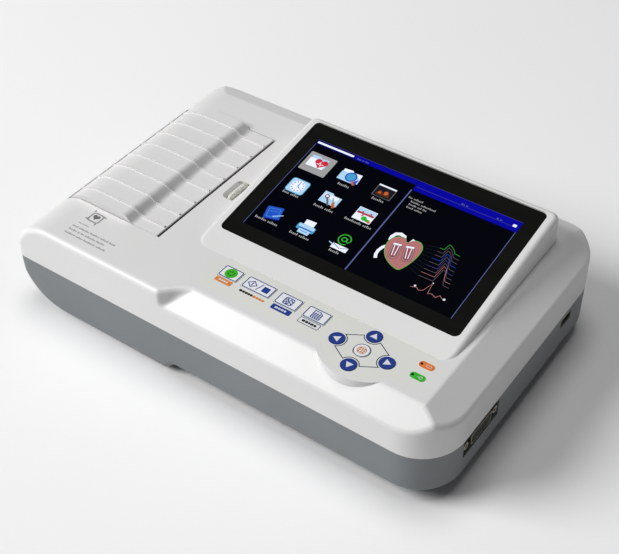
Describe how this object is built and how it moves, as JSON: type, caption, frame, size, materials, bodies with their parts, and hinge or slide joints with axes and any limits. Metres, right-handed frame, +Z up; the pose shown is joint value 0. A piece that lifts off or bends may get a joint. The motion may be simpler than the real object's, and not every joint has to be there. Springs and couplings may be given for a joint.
{
  "type": "ecg machine",
  "caption": "Portable electrocardiograph with a tilted colour screen, key field, domed printer door over a paper roll and a patient lead connector in its side.",
  "frame": {"origin": "middle of the footprint, on the surface that the feet rest on", "axes": "+X to the user's right, +Y to the back, +Z up"},
  "size_m": [0.326, 0.204, 0.0921],
  "materials": {
    "case_white": "fine satin moulded texture",
    "case_grey": "fine satin moulded texture",
    "screen_glass": "gloss, printed black border",
    "black_rubber": "matt",
    "dark_metal": "satin",
    "overlay_beige": "fine velvet film",
    "circuit_board": "solder mask",
    "spring_steel": "bright",
    "key_white": "film",
    "key_blue": "film",
    "lamp_orange": "translucent lens",
    "lamp_green": "translucent lens",
    "gear_plastic": "natural acetal",
    "gear_brass": "machined",
    "zinc_plate": "zinc plated",
    "head_ceramic": "glazed",
    "aluminium": "extruded",
    "tray_black": "moulded",
    "card": "pressed card",
    "paper": "thermal paper",
    "latch_cream": "satin",
    "battery_wrap": "shrink film",
    "cable_film": "flexible film",
    "connector_metal": "plated shell",
    "black_plastic": "moulded"
  },
  "bodies": {
    "case": {"upper_case": "case_white", "lower_case": "case_grey", "display_glass": "screen_glass", "display_gasket": "black_rubber", "lcd_module": "dark_metal", "keypad_overlay": "overlay_beige", "keypad_board": "circuit_board", "dome_switches": "spring_steel", "battery_lamp": "lamp_orange", "mains_lamp": "lamp_green", "hinge_pins": "spring_steel", "idler_axle": "spring_steel", "stepper_motor": "dark_metal", "drive_plate": "zinc_plate", "print_head": "head_ceramic", "head_heatsink": "aluminium", "paper_tray": "tray_black", "roll_spindle": "tray_black", "latch_straps": "zinc_plate", "latch_spring": "spring_steel", "main_board": "circuit_board", "signal_shield": "zinc_plate", "processor_module": "circuit_board", "board_screws": "zinc_plate", "power_board": "circuit_board", "transformer": "dark_metal", "battery_pack": "battery_wrap", "battery_cover": "case_grey", "battery_screws": "spring_steel", "speaker": "dark_metal", "display_cable": "cable_film", "keypad_cable": "cable_film", "lead_connector_shell": "connector_metal", "lead_connector_insert": "black_plastic", "connector_standoffs": "connector_metal", "usb_port": "connector_metal", "network_port": "connector_metal", "mains_inlet": "black_plastic", "feet": "black_rubber", "case_screws": "spring_steel"},
    "power_key": {"power_key": "key_white"},
    "start_stop_key": {"start_stop_key": "key_white"},
    "mode_key": {"mode_key": "key_white"},
    "print_key": {"print_key": "key_white"},
    "left_key": {"left_key": "key_blue"},
    "right_key": {"right_key": "key_blue"},
    "up_key": {"up_key": "key_blue"},
    "down_key": {"down_key": "key_blue"},
    "enter_key": {"enter_key": "key_white"},
    "printer_door": {"printer_door": "case_white"},
    "roller": {"roller_shaft": "spring_steel", "platen_roller": "black_rubber", "platen_gear": "gear_plastic"},
    "idler": {"idler_gear": "gear_plastic"},
    "motor_rotor": {"motor_pinion": "gear_brass", "motor_shaft": "spring_steel"},
    "paper_roll": {"roll_core": "card", "paper_roll": "paper"},
    "latch": {"latch_slider": "latch_cream"}
  },
  "joints": [
    {"name": "power_key_press", "type": "slide", "parent": "case", "child": "power_key", "axis": [0, 0, -1], "range_m": [0, 0.0005], "stiffness_N_per_m": 400},
    {"name": "start_stop_key_press", "type": "slide", "parent": "case", "child": "start_stop_key", "axis": [0, 0, -1], "range_m": [0, 0.0005], "stiffness_N_per_m": 400},
    {"name": "mode_key_press", "type": "slide", "parent": "case", "child": "mode_key", "axis": [0, 0, -1], "range_m": [0, 0.0005], "stiffness_N_per_m": 400},
    {"name": "print_key_press", "type": "slide", "parent": "case", "child": "print_key", "axis": [0, 0, -1], "range_m": [0, 0.0005], "stiffness_N_per_m": 400},
    {"name": "left_key_press", "type": "slide", "parent": "case", "child": "left_key", "axis": [0, 0, -1], "range_m": [0, 0.0005], "stiffness_N_per_m": 400},
    {"name": "right_key_press", "type": "slide", "parent": "case", "child": "right_key", "axis": [0, 0, -1], "range_m": [0, 0.0005], "stiffness_N_per_m": 400},
    {"name": "up_key_press", "type": "slide", "parent": "case", "child": "up_key", "axis": [0, 0, -1], "range_m": [0, 0.0005], "stiffness_N_per_m": 400},
    {"name": "down_key_press", "type": "slide", "parent": "case", "child": "down_key", "axis": [0, 0, -1], "range_m": [0, 0.0005], "stiffness_N_per_m": 400},
    {"name": "enter_key_press", "type": "slide", "parent": "case", "child": "enter_key", "axis": [0, 0, -1], "range_m": [0, 0.0005], "stiffness_N_per_m": 400},
    {"name": "printer_door_hinge", "type": "hinge", "parent": "case", "child": "printer_door", "pos_m": [-0.1437, 0, 0.0635], "axis": [0, -1, 0], "range_deg": [0, 60]},
    {"name": "roller_spin", "type": "hinge", "parent": "printer_door", "child": "roller", "pos_m": [-0.077, 0, 0.061], "axis": [0, 1, 0], "continuous": true},
    {"name": "idler_spin", "type": "hinge", "parent": "case", "child": "idler", "pos_m": [-0.077, 0.057, 0.045], "axis": [0, 1, 0], "continuous": true},
    {"name": "motor_spin", "type": "hinge", "parent": "case", "child": "motor_rotor", "pos_m": [-0.06516, 0.05, 0.03612], "axis": [0, 1, 0], "continuous": true},
    {"name": "paper_roll_spin", "type": "hinge", "parent": "case", "child": "paper_roll", "pos_m": [-0.114, 0, 0.03], "axis": [0, 1, 0], "continuous": true},
    {"name": "latch_slide", "type": "slide", "parent": "case", "child": "latch", "axis": [1, 0, 0], "range_m": [0, 0.0014], "stiffness_N_per_m": 500}
  ],
  "couplings": [
    {"joint": "idler_spin", "follows": "roller_spin", "ratio": -0.6},
    {"joint": "motor_spin", "follows": "roller_spin", "ratio": 1.25}
  ]
}
